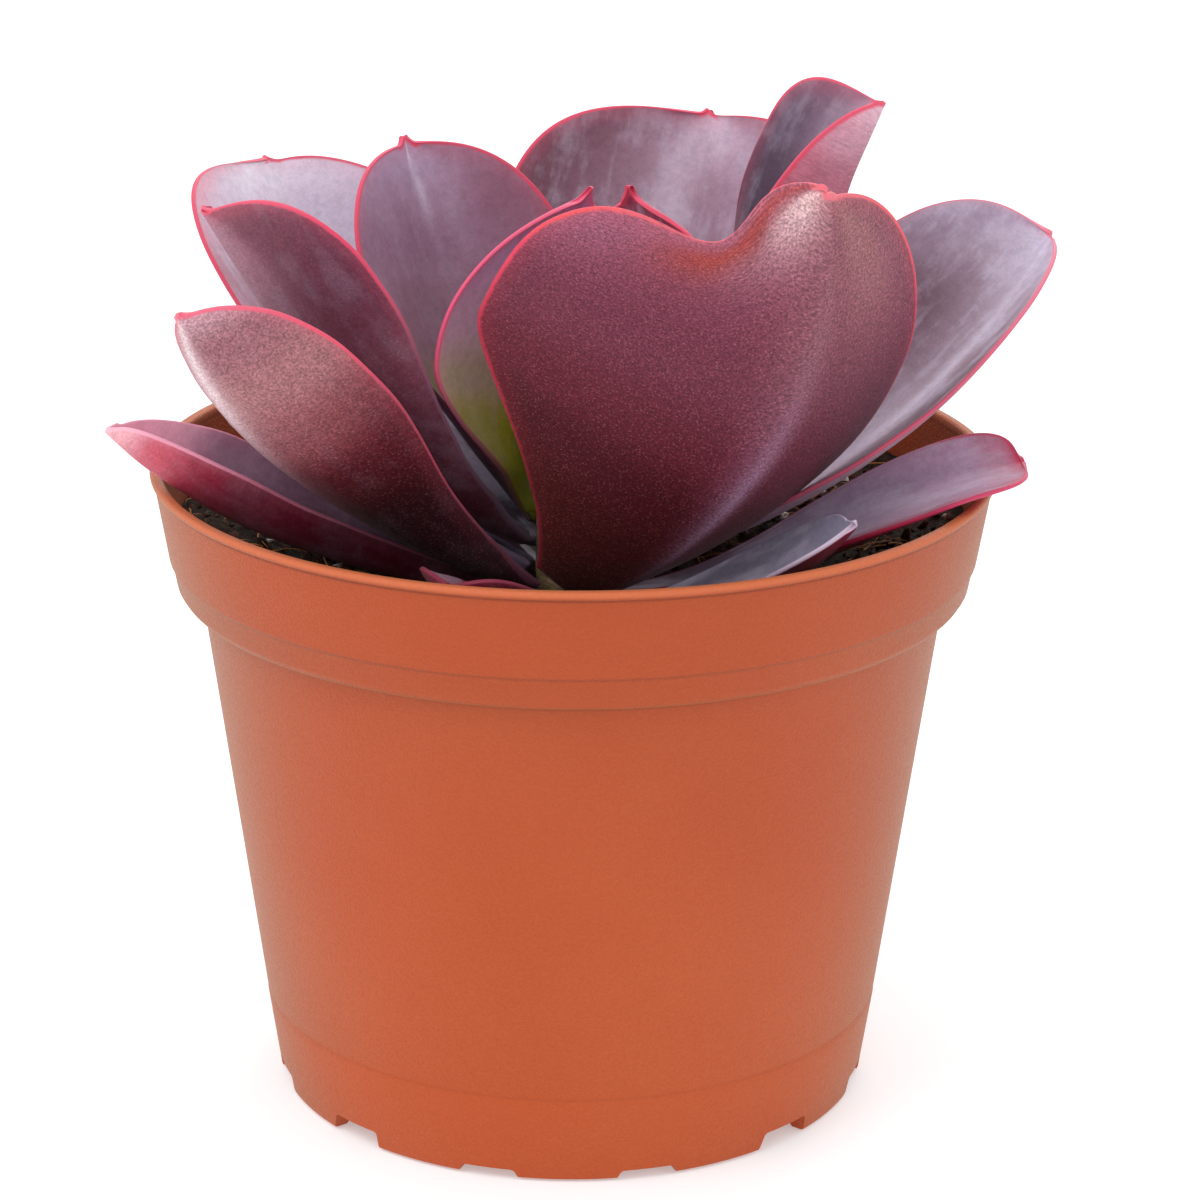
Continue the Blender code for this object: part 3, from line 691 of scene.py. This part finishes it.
leaves = {
    "left_low": dict(
        turn=178, root=79.5, length=65, climb=(7, 19, 41), half=(9, 9), fold=(42, 42), roll=(-6, -6),
        broad=(0.72, 0.72), blunt=(1.7, 2.2), spike=0.3, fine=2, bloom=(0.12, 0.1),
        margin=((0, (120, 60, 84)), (0.6, (190, 110, 134)), (0.85, (226, 150, 172)), (1, (240, 180, 196))),
        inner=((0, (40, 24, 34)), (0.45, (90, 58, 78)), (0.7, (124, 82, 104)), (0.86, (224, 158, 180)),
               (1, (240, 150, 170))),
        outer=((0, (50, 4, 16)), (0.4, (84, 10, 32)), (0.62, (124, 34, 58)), (0.76, (156, 42, 66)),
               (0.86, (196, 72, 92)), (0.94, (232, 160, 168)), (1, (246, 206, 212)))),
    "left_sliver": dict(
        turn=166, root=82.4, length=48.5, climb=(20, 20, 29), half=(5, 8.5), base=(0.1, 0.1), bloom=(0.3, 0.3),
        margin=((0, (150, 130, 160)), (1, (206, 190, 214))), halo=0,
        inner=((0, (30, 20, 26)), (0.5, (134, 110, 142)), (1, (200, 176, 208))),
        outer=((0, (60, 40, 56)), (0.5, (130, 108, 138)), (1, (190, 166, 198)))),
    "right_small": dict(
        turn=-24, root=77.5, length=41.5, climb=(6, 26, 44), half=(10, 7.5), fold=(8, 6), roll=(10, 14),
        margin=((0, (90, 80, 94)), (0.6, (140, 120, 140)), (1, (214, 196, 216))), halo=0, fine=3,
        bloom=(0.9, 0.1), inner=((0, (176, 170, 186)), (0.5, (154, 148, 172)), (1, (150, 148, 174))),
        outer=((0, (70, 62, 72)), (0.5, (84, 60, 76)), (0.75, (110, 24, 54)), (0.9, (150, 30, 70)),
               (1, (170, 90, 124)))),
    "front_small": dict(
        turn=-117, root=78, length=34, climb=(5, 22, 50), half=(9, 9), blunt=(3, 3), wave=0.08, spike=0.1,
        margin=((0, (90, 16, 34)), (1, (130, 44, 66))), halo=0, fine=4,
        inner=((0, (60, 14, 26)), (0.6, (120, 30, 52)), (1, (132, 44, 70))),
        outer=((0, (60, 10, 22)), (0.6, (130, 26, 50)), (1, (140, 34, 60)))),
    "right_low": dict(
        turn=6, root=79, length=61, climb=(-3, 23, 7), half=(14.8, 8), fold=(8, 12), roll=(0, 8),
        blunt=(3.4, 3.4), broad=(0.8, 0.76), point=1.2, base=(0.15, 0.1), spike=0.05, swell=0.3,
        curl=(6, 20),
        inner=((0, (110, 94, 110)), (0.45, (166, 148, 176)), (0.85, (200, 166, 198)), (0.94, (196, 136, 160)),
               (1, (196, 60, 96))),
        outer=((0, (80, 10, 30)), (0.5, (150, 20, 60)), (1, (186, 44, 84))),
        margin=((0, (110, 16, 42)), (0.5, (160, 26, 64)), (1, (206, 70, 104))), halo=0.1,
        spots=((-1.0, 0.5, 0.34, 0.36, (140, 16, 52), 1, 0), (-0.7, 0.55, 0.18, 0.3, (176, 160, 186), 0.7, 0),
               (0.3, 0.7, 0.3, 0.2, (150, 132, 158), 0.5, 0))),
    "left_fold": dict(
        turn=208, root=81, length=70.5, climb=(25, 42, 52), half=(17, 15.5), fold=(12, 6), roll=(28, 34),
        broad=(0.42, 0.7), blunt=(1.6, 2.2), grain=(0.2, 1.15), spike=0.3, bloom=(0.7, 0.04),
        margin=((0, (120, 70, 90)), (0.45, (180, 70, 92)), (0.8, (226, 84, 108)), (1, (226, 100, 124))),
        inner=((0, (40, 10, 18)), (0.4, (120, 80, 96)), (0.8, (202, 162, 171)), (1, (204, 170, 182))),
        outer=((0, (34, 0, 6)), (0.36, (44, 0, 10)), (0.5, (84, 12, 26)), (0.62, (138, 66, 74)),
               (0.76, (168, 110, 114)), (0.88, (156, 98, 108)), (1, (212, 184, 194))),
        fine=1.3,
        # The first, pale spot is a painted highlight on the lit part of the outer face.
        spots=((-0.55, 0.8, 0.28, 0.3, (240, 214, 218), 0.95, 1), (-0.6, 0.45, 0.3, 0.2, (150, 110, 122), 0.6, 1),
               (0.9, 0.5, 0.3, 0.16, (90, 16, 30), 0.7, 1))),
    "front": dict(
        turn=-84, root=81, length=75, climb=(50, 72, 80), half=(40, 25), lean=(48, 24, 0), roll=(5, 17),
        fold=(5, 20), blunt=(3.1, 1.8), broad=(0.5, 0.66), base=(0.24, 0.06), dent=(11.5, 7.4, 10, 3.0),
        corner=(7, 1.6), swell=0.6, clear=2.6,
        cells=(90, 72), grain=(0.2, 1.3), bloom=(0.7, 0), spike=0.3, halo=0.12, pleat=(9.0, 1.6, 1.4),
        margin=((0, (120, 30, 42)), (0.35, (176, 44, 66)), (0.7, (226, 66, 92)), (0.86, (240, 84, 92)),
                (1, (232, 116, 130))),
        outer=((0, (64, 22, 14)), (0.14, (80, 20, 22)), (0.3, (80, 14, 28)), (0.42, (100, 28, 46)),
               (0.6, (112, 46, 66)), (0.85, (126, 56, 78)), (1, (142, 78, 92))),
        # The two pale spots at the tip, across -0.26 and -0.17, are painted highlight on the curled tip.
        spots=((-0.26, 0.98, 0.05, 0.05, (236, 214, 228), 0.9, 1), (-0.9, 0.88, 0.35, 0.12, (162, 98, 124), 0.7, 1),
               (-0.55, 0.9, 0.16, 0.09, (160, 58, 52), 0.85, 1), (-0.17, 0.95, 0.2, 0.12, (228, 192, 192), 0.9, 1),
               (0.5, 0.88, 0.35, 0.18, (160, 104, 106), 0.8, 1), (0.6, 0.5, 0.35, 0.14, (96, 44, 64), 0.6, 1),
               (0.06, 0.72, 0.14, 0.2, (146, 92, 100), 0.6, 1), (0.09, 0.34, 0.1, 0.24, (172, 130, 160), 0.95, 1))),
    "right": dict(
        turn=15, root=83, length=79.6, climb=(10, 37.5, 45), half=(22, 22.4), fold=(16, 12), roll=(10, 14),
        blunt=(1.9, 2.7), broad=(0.6, 0.58), base=(0.1, 0.15), bloom=(0.75, 0.3), spike=0.05, swell=0.35, fine=2,
        margin=((0, (150, 70, 90)), (0.5, (196, 76, 104)), (1, (226, 120, 140))),
        inner=((0, (226, 200, 214)), (0.35, (214, 194, 212)), (0.7, (168, 146, 162)), (1, (214, 204, 228))),
        spots=((-0.4, 0.62, 0.1, 0.3, (224, 214, 234), 0.85, 0), (-0.1, 0.4, 0.12, 0.25, (214, 204, 224), 0.7, 0),
               (-0.85, 0.6, 0.2, 0.3, (110, 80, 92), 0.6, 0), (0.4, 0.7, 0.35, 0.2, (116, 86, 100), 0.7, 0),
               (0.85, 0.9, 0.2, 0.15, (150, 126, 150), 0.6, 0)),
        outer=((0, (110, 80, 92)), (0.3, (170, 136, 156)), (0.7, (160, 110, 124)), (1, (190, 140, 150)))),
    "left_upper": dict(
        margin=((0, (84, 66, 80)), (0.4, (130, 84, 104)), (0.8, (216, 66, 96)), (1, (226, 90, 116))), fine=1.3,
        turn=190, root=87, length=67.5, climb=(27, 51, 54), half=(3, 20), fold=(28, 25), roll=(5, 8),
        broad=(0.62, 0.72), blunt=(2.2, 2.8), grain=(0.2, 0.5), bloom=(0.7, 0.12), spike=0.3,
        outer=((0, (50, 8, 16)), (0.3, (98, 40, 58)), (0.5, (126, 66, 84)), (0.72, (108, 52, 72)),
               (0.9, (116, 58, 78)), (0.96, (140, 76, 92)), (1, (196, 130, 146))),
        spots=((0.15, 0.9, 0.25, 0.2, (190, 140, 158), 0.7, 1), (0.2, 0.6, 0.15, 0.3, (140, 90, 108), 0.5, 1))),
    "left_back": dict(
        turn=139, root=85, length=73, climb=(22, 42, 56), half=(22, 32), curl=(20, 1), blunt=(2, 4.4),
        fold=(25, 16), roll=(0, 3), base=(0.15, 0.1), broad=(0.62, 0.42), swell=0.4, bloom=(0.6, 0.4), spike=0.4,
        # The first spot is a painted highlight on a lit fold; the second, pink one along the edge is partly painted
        # glow.
        spots=((0.5, 0.92, 0.1, 0.05, (240, 232, 246), 0.8, 0), (0.95, 0.9, 0.12, 0.2, (236, 168, 188), 0.7, 0),
               (0.1, 0.95, 0.16, 0.08, (240, 234, 248), 0.7, 0), (-0.4, 0.7, 0.3, 0.2, (206, 196, 216), 0.6, 0),
               (0.95, 0.66, 0.4, 0.14, (160, 108, 126), 0.8, 0)),
        inner=((0, (60, 50, 60)), (0.5, (152, 122, 146)), (0.8, (210, 188, 212)), (1, (238, 226, 242)))),
    "back_left": dict(
        turn=133, root=88, length=59.5, climb=(34, 62, 70), half=(20, 23), spike=0.55, bloom=(0.15, 0.15),
        inner=((0, (130, 134, 20)), (0.16, (156, 156, 50)), (0.3, (150, 134, 80)), (0.5, (156, 114, 132)),
               (0.75, (152, 112, 138)), (1, (190, 166, 196))),
        spots=((0.0, 0.97, 0.05, 0.07, (238, 228, 242), 0.9, 0), (-0.08, 0.86, 0.06, 0.08, (206, 190, 212), 0.8, 0),
               (-0.3, 0.75, 0.1, 0.1, (170, 140, 164), 0.6, 0), (-0.85, 0.8, 0.35, 0.2, (136, 80, 98), 0.6, 0))),
    "back": dict(
        turn=67, root=84, length=71, climb=(32, 52, 64), half=(23, 27), blunt=(3.6, 3), bloom=(0.35, 0.15),
        spike=0.4,
        inner=((0, (60, 44, 52)), (0.5, (122, 88, 104)), (0.8, (146, 112, 130)), (1, (166, 130, 150))),
        spots=((0.9, 0.78, 0.3, 0.25, (106, 62, 78), 0.85, 0), (-0.3, 0.95, 0.4, 0.12, (222, 200, 222), 0.8, 0),
               (0.15, 0.78, 0.16, 0.25, (204, 182, 202), 0.8, 0), (-0.5, 0.72, 0.35, 0.2, (176, 140, 164), 0.7, 0))),
    "back_right": dict(
        turn=12, root=89, length=70.5, climb=(26, 64, 60), half=(14, 16.5), fold=(40, 60), roll=(5, -10),
        broad=(0.5, 0.82), blunt=(1.6, 3.6), curl=(20, -30), base=(0.15, 0.1), point=1.5, spike=0.3, swell=-0.5,
        bloom=(0.25, 0.15),
        inner=((0, (50, 36, 46)), (0.6, (70, 50, 70)), (0.86, (84, 60, 82)), (0.95, (112, 76, 98)),
               (1, (150, 110, 134))),
        outer=((0, (70, 20, 34)), (0.5, (146, 60, 84)), (0.8, (184, 98, 118)), (0.9, (204, 150, 168)),
               (1, (238, 212, 226))),
        spots=((0.1, 0.94, 0.45, 0.1, (210, 192, 212), 0.85, 0), (0.5, 0.88, 0.15, 0.08, (150, 124, 146), 0.6, 0))),
    "inner_left": dict(
        turn=121, root=88.6, length=48, climb=(60, 90, 120), half=(7, 27), lean=(0, -8, -15), swell=0.5,
        base=(0.15, 0.2), broad=(0.62, 0.52), bloom=(0.2, 0.3), spike=0.9,
        margin=((0, (120, 84, 60)), (0.3, (170, 90, 110)), (0.5, (236, 84, 124)), (1, (236, 96, 130))),
        inner=((0, (150, 158, 10)), (0.24, (168, 172, 40)), (0.42, (192, 170, 142)), (0.6, (222, 174, 196)),
               (0.8, (234, 168, 212)), (1, (216, 116, 164)))),
    "inner_back": dict(
        turn=54, root=93, length=43.5, climb=(40, 84, 104), half=(17, 7), spike=1.0, blunt=(7, 2.2),
        broad=(0.75, 0.62),
        inner=((0, (50, 24, 30)), (0.6, (98, 40, 58)), (1, (140, 52, 80)))),
    "rear_low": dict(turn=85, root=80, length=64, climb=(6, 20, 28), half=(13, 13)),
    "rear_right": dict(turn=52, root=80.5, length=62, climb=(8, 27, 36), half=(14, 13)),
    "rear_left": dict(turn=122, root=80.5, length=58, climb=(8, 26, 36), half=(12, 13)),
    "inner_right": dict(turn=-30, root=92, length=36, climb=(55, 88, 104), half=(9, 9)),
}


def through(share, first, middle, last):
    return (first * (1 - share) * (1 - 2 * share) + middle * 4 * share * (1 - share)
            + last * share * (2 * share - 1))


def bladeFrame(leaf, share):
    climb = through(share, *leaf["climb"])
    lean = through(share, *leaf["lean"])
    roll = leaf["roll"][0] + (leaf["roll"][1] - leaf["roll"][0]) * share
    roll *= min(share / leafShape["rootEase"], 1)
    return (Matrix.Rotation(math.radians(leaf["turn"]), 3, "Z")
            @ Matrix.Rotation(math.radians(-climb), 3, "Y")
            @ Matrix.Rotation(math.radians(lean), 3, "Z")
            @ Matrix.Rotation(math.radians(roll), 3, "X"))


def midrib(leaf, count):
    heading = math.radians(leaf["turn"])
    out = leafShape["stemRadius"] + leaf["clear"]
    point = Vector((stemX + out * math.cos(heading), stemY + out * math.sin(heading), leaf["root"]))
    points = [point]
    for index in range(count):
        point = point + bladeFrame(leaf, (index + 0.5) / count) @ Vector((leaf["length"] / count, 0, 0))
        points.append(point)
    return points


def margin(leaf, row, side):
    full = leaf["half"][side]
    end = 1 - leaf["point"] / leaf["length"]
    broad = leaf["broad"][side] * end
    broadRow, pointRow = leafShape["broadRow"], leafShape["pointRow"]
    if row < broadRow:
        share = row / broadRow
        root = leaf["base"][side]
        place = broad * share
        rise = smooth(0, 1, share)
        rise += (math.sin(share * math.pi / 2) - rise) * leaf["swell"]
        width = full * (root + (1 - root) * rise)
    elif row < pointRow:
        angle = math.pi / 2 * (row - broadRow) / (pointRow - broadRow)
        power = 2 / leaf["blunt"][side]
        place = broad + (end - broad) * math.sin(angle) ** power
        width = full * math.cos(angle) ** power
    else:
        place = end + (1 - end) * leaf["spike"] * (row - pointRow) / (1 - pointRow)
        width = 0
    tip = end + (1 - end) * leaf["spike"]
    point = leafShape["pointWidth"] * min(max(tip - place, 0) / (tip - end), 1) ** 1.6 + leafShape["pointEnd"]
    return place, max(width, point)


def rowPlace(leaf, row, across):
    end = 1 - leaf["point"] / leaf["length"]
    edge, width = margin(leaf, row, 1 if across > 0 else 0)
    if row >= leafShape["pointRow"]:
        return edge, width
    middle = end * (1 - (1 - row / leafShape["pointRow"]) ** leafShape["rowEase"])
    return middle + (edge - middle) * across * across, width


def bladePoint(leaf, points, share, across, width, seed):
    count = len(points) - 1
    index = min(int(share * count), count - 1)
    rib = points[index].lerp(points[index + 1], share * count - index)
    side = 1 if across > 0 else 0
    reach = abs(across)
    fold = math.radians(leaf["fold"][0] + (leaf["fold"][1] - leaf["fold"][0]) * share)
    curl = math.radians(leaf["curl"][side]) or 0.001
    flat = math.sin(curl * reach) / curl
    rise = (1 - math.cos(curl * reach)) / curl
    out = math.copysign(flat * math.cos(fold) - rise * math.sin(fold), across) * width
    up = (flat * math.sin(fold) + rise * math.cos(fold)) * min(share / leafShape["rootEase"], 1) * width
    where, depth, far, near = leaf["dent"]
    spread = far if -out > where else near
    back = depth * hump(-out, where, spread)
    reachLeft, lift = leaf["corner"]
    back -= lift * smooth(-0.2, 0.7, -out) * (1 - smooth(0.5, 1.2, -out / reachLeft))
    back *= min(max((share - 0.6) / 0.35, 0), 1) ** 2
    wavy = leaf["wave"] * reach ** 3 * noise.noise(Vector((share * 5, across * 1.3, seed)))
    wavy += leafShape["ripple"] * noise.noise(Vector((
        share * leaf["length"] / leafShape["rippleLong"], out / leafShape["rippleWide"], seed + 9)))
    up += wavy * smooth(0.1, 0.3, share)
    where, depth, spread = leaf["pleat"]
    up -= depth * hump(-out, where, spread) * smooth(0.72, 0.97, share)
    return rib + bladeFrame(leaf, share) @ Vector((-back, out, up)), out


def alongStops(stops, share):
    for (low, first), (high, second) in zip(stops, stops[1:]):
        if share <= high:
            return mixed(first, second, smooth(low, high, share))
    return stops[-1][1]


def faceColour(leaf, face, share, across):
    colour = alongStops(leaf["outer" if face else "inner"], share)
    for spotAcross, spotShare, wide, long, spotColour, strength, spotFace in leaf["spots"]:
        if spotFace == face:
            away = ((across - spotAcross) / wide) ** 2 + ((share - spotShare) / long) ** 2
            colour = mixed(colour, spotColour, strength * math.exp(-away))
    return srgb(*colour)


def growLeaf(values, seed):
    leaf = {**leafPlain, **values}
    points = midrib(leaf, leafShape["ribSteps"])
    clearSelection()
    bpy.ops.mesh.primitive_grid_add(x_subdivisions=leaf["cells"][0], y_subdivisions=leaf["cells"][1], size=1)
    piece = bpy.context.object
    mesh = piece.data
    flesh = piece.vertex_groups.new(name="flesh")
    flow, rims, margins, inner, outer = [], [], [], [], []
    for vertex in mesh.vertices:
        across = vertex.co.y * 2
        across = math.copysign(1 - (1 - abs(across)) ** leafShape["bunching"], across)
        share, width = rowPlace(leaf, min(vertex.co.x + 0.5, 1), across)
        onMargin = abs(across) > 0.9999 or share > 0.9999
        fleshy = (1 - abs(across) ** 1.6) * (1 - share ** 4) * min(1, 0.6 + share * 2)
        thick = leafShape["margin"] + (leafShape["rib"] - leafShape["margin"]) * fleshy
        flesh.add([vertex.index], thick / leafShape["rib"], "REPLACE")
        spot, out = bladePoint(leaf, points, share, across, width, seed)
        vertex.co = spot * mm
        if onMargin:
            margins.append(vertex.co.copy())
        flow.append((out, share * leaf["length"], seed * 31.0))
        rims.append((*srgb(*alongStops(leaf["margin"], share))[:3], leaf["halo"]))
        inner.append(faceColour(leaf, 0, share, across))
        outer.append(faceColour(leaf, 1, share, across))
    tree = kdtree.KDTree(len(margins))
    for index, spot in enumerate(margins):
        tree.insert(spot, index)
    tree.balance()
    edges = [tree.find(vertex.co)[2] / mm * leaf["fine"] for vertex in mesh.vertices]
    shell = piece.modifiers.new("Flesh", "SOLIDIFY")
    shell.thickness = leafShape["rib"] * mm
    shell.offset = -1
    shell.vertex_group = "flesh"
    applyModifier(piece, "Flesh")
    mesh = piece.data
    count = len(inner)
    storeValues(mesh, "tint", "FLOAT_COLOR", flattened(inner + outer))
    storeValues(mesh, "edge", "FLOAT", edges + edges)
    storeValues(mesh, "flow", "FLOAT_VECTOR", flattened(flow + flow))
    storeValues(mesh, "rim", "FLOAT_COLOR", flattened(rims + rims))
    for kind in ("bloom", "grain"):
        storeValues(mesh, kind, "FLOAT", [leaf[kind][0]] * count + [leaf[kind][1]] * count)
    rounded = piece.modifiers.new("Rounded", "SUBSURF")
    rounded.levels = 1
    rounded.render_levels = 1
    applyModifier(piece, "Rounded")
    piece.data.shade_smooth()
    return piece


leafLook = dict(
    bloomColour=(208, 198, 220), dark=(38, 10, 18), warm=(214, 160, 146), roughness=0.46, contrast=0.9,
    patchScale=0.11, streakScale=0.42, mottleScale=0.7, grainScale=2.7, mottleShare=0.17, glintShare=0.16,
    bloomShare=0.7, lineShare=0.92, grainDepth=0.00008,
)


def makeLeafMaterial():
    material, tree, shader = newMaterial("leafSkin")
    tint = attributeNode(tree, "tint").outputs["Color"]
    rim = attributeNode(tree, "rim")
    edge = attributeNode(tree, "edge").outputs["Fac"]
    bloom = attributeNode(tree, "bloom").outputs["Fac"]
    grainy = attributeNode(tree, "grain").outputs["Fac"]
    flow = attributeNode(tree, "flow").outputs["Vector"]
    patches = noiseNode(tree, flow, leafLook["patchScale"], 4, 0.6)
    streaks = noiseNode(tree, stretched(tree, flow, (1, 0.22, 1)), leafLook["streakScale"], 4, 0.6)
    cloud = mathNode(tree, "MULTIPLY_ADD", streaks, 0.5, mathNode(tree, "MULTIPLY", patches, 0.5))
    dusty = mathNode(tree, "MULTIPLY", rampBetween(tree, cloud, 0.45, 0.61), bloom)
    mottle = noiseNode(tree, flow, leafLook["mottleScale"], 5, 0.7)
    grain, sparkle = speckleNode(tree, flow, leafLook["grainScale"])
    colour = tinted(tree, tint, leafLook["bloomShare"], dusty, leafLook["bloomColour"])
    colour = tinted(tree, colour, leafLook["mottleShare"], rampBetween(tree, mottle, 0.35, 0.7), leafLook["dark"])
    speck = mathNode(tree, "MULTIPLY_ADD", sparkle, 0.35, mathNode(tree, "MULTIPLY_ADD", grain, 0.65, -0.38))
    value = mathNode(tree, "MULTIPLY_ADD", mathNode(tree, "MULTIPLY", speck, grainy), leafLook["contrast"], 1.0)
    colour = addNode(tree, "ShaderNodeHueSaturation", Value=value, Color=colour).outputs[0]
    glint = mathNode(tree, "MULTIPLY", mathNode(tree, "MULTIPLY", sparkle, grain), grainy)
    colour = tinted(tree, colour, leafLook["glintShare"], glint, leafLook["warm"])
    # The margin colour spreads inward as a soft halo and a sharp line: partly the leaf's own red edge, partly
    # painted glow of light through the thin margin.
    unevenEdge = mathNode(tree, "MULTIPLY_ADD", mottle, 0.6, mathNode(tree, "SUBTRACT", edge, 0.3))
    halo = inverted(tree, rampBetween(tree, unevenEdge, 0.3, 3.5))
    colour = mixColour(tree, mathNode(tree, "MULTIPLY", halo, rim.outputs["Alpha"]), colour, rim.outputs["Color"])
    line = inverted(tree, rampBetween(tree, unevenEdge, 0.3, 0.85))
    colour = mixColour(tree, mathNode(tree, "MULTIPLY", line, leafLook["lineShare"]), colour, rim.outputs["Color"])
    tree.links.new(colour, shader.inputs["Base Color"])
    roughness = mathNode(tree, "MULTIPLY_ADD", dusty, 0.12, leafLook["roughness"])
    tree.links.new(roughness, shader.inputs["Roughness"])
    shader.inputs["Specular IOR Level"].default_value = 0.2
    shader.inputs["Sheen Weight"].default_value = 0.05
    shader.inputs["Sheen Roughness"].default_value = 0.5
    height = mathNode(tree, "MULTIPLY_ADD", mathNode(tree, "MULTIPLY", grain, grainy), 0.7,
                      mathNode(tree, "MULTIPLY", mottle, 1.2))
    bumpInto(tree, shader, height, leafLook["grainDepth"], 0.7)
    return material


leafSkin = makeLeafMaterial()
for index, (name, values) in enumerate(leaves.items()):
    finishPiece(growLeaf(values, index + 1.0), "blade_" + name, leafSkin, ("leaf_" + name,))
print("leaves grown")


# Stem with the youngest leaves at its tip
stemLook = dict(
    rings=((0.6, 96.0), (3.0, 95.2), (4.5, 93), (5.0, 90), (4.9, 86), (5.0, 82), (4.8, 78), (4.9, 74), (4.6, 70),
           (4.6, 66), (4.0, 60)),
    sides=48, knobs=0.06, knobSize=2.2, young=5, turn=137.5, root=94.5, rise=0.3, length=15.5, shrink=2.0, seed=60.0,
    youngLeaf=dict(
        climb=(50, 72, 84), half=(3, 3), fold=(0, 0), curl=(5, 5), point=1.5, clear=-3.5, cells=(18, 12), wave=0.1,
        inner=((0, (96, 92, 50)), (0.6, (130, 80, 92)), (1, (170, 80, 104)))),
)


def makeStem():
    stem = turnedPiece(stemLook["rings"], stemLook["sides"])
    knobSize = stemLook["knobSize"] * mm
    for vertex in stem.data.vertices:
        x, y, z = vertex.co
        knobbly = 1 + stemLook["knobs"] * noise.noise(Vector((x, y, z * 2)) / knobSize)
        vertex.co.x = x * knobbly + stemX * mm
        vertex.co.y = y * knobbly + stemY * mm
    storeValues(stem.data, "young", "FLOAT", [0.0] * len(stem.data.vertices))
    young = []
    for index in range(stemLook["young"]):
        values = dict(
            stemLook["youngLeaf"], turn=stemLook["turn"] * index, root=stemLook["root"] + stemLook["rise"] * index,
            length=stemLook["length"] - stemLook["shrink"] * index)
        piece = growLeaf(values, stemLook["seed"] + index)
        storeValues(piece.data, "young", "FLOAT", [1.0] * len(piece.data.vertices))
        young.append(piece)
    makeActive(stem, young)
    bpy.ops.object.join()
    stem.data.shade_smooth()
    return stem


def makeStemMaterial():
    material, tree, shader = newMaterial("stemBark")
    coords = objectCoords(tree)
    young = attributeNode(tree, "young").outputs["Fac"]
    tint = attributeNode(tree, "tint").outputs["Color"]
    rim = attributeNode(tree, "rim").outputs["Color"]
    edge = attributeNode(tree, "edge").outputs["Fac"]
    bands = noiseNode(tree, stretched(tree, coords, (1, 1, 3)), 260, 4, 0.6)
    grain = speckleNode(tree, coords, 1800)[0]
    bark = mixColour(tree, rampBetween(tree, bands, 0.35, 0.7), srgb(92, 84, 48), srgb(138, 112, 84))
    leafy = mixColour(tree, inverted(tree, rampBetween(tree, edge, 0.3, 1.0)), tint, rim)
    colour = mixColour(tree, young, bark, leafy)
    tree.links.new(colour, shader.inputs["Base Color"])
    shader.inputs["Roughness"].default_value = 0.6
    bumpInto(tree, shader, mathNode(tree, "ADD", bands, grain), 0.0002, 0.6)
    return material


finishPiece(makeStem(), "stem_and_heart", makeStemMaterial(), ("stem",))
print("stem made")
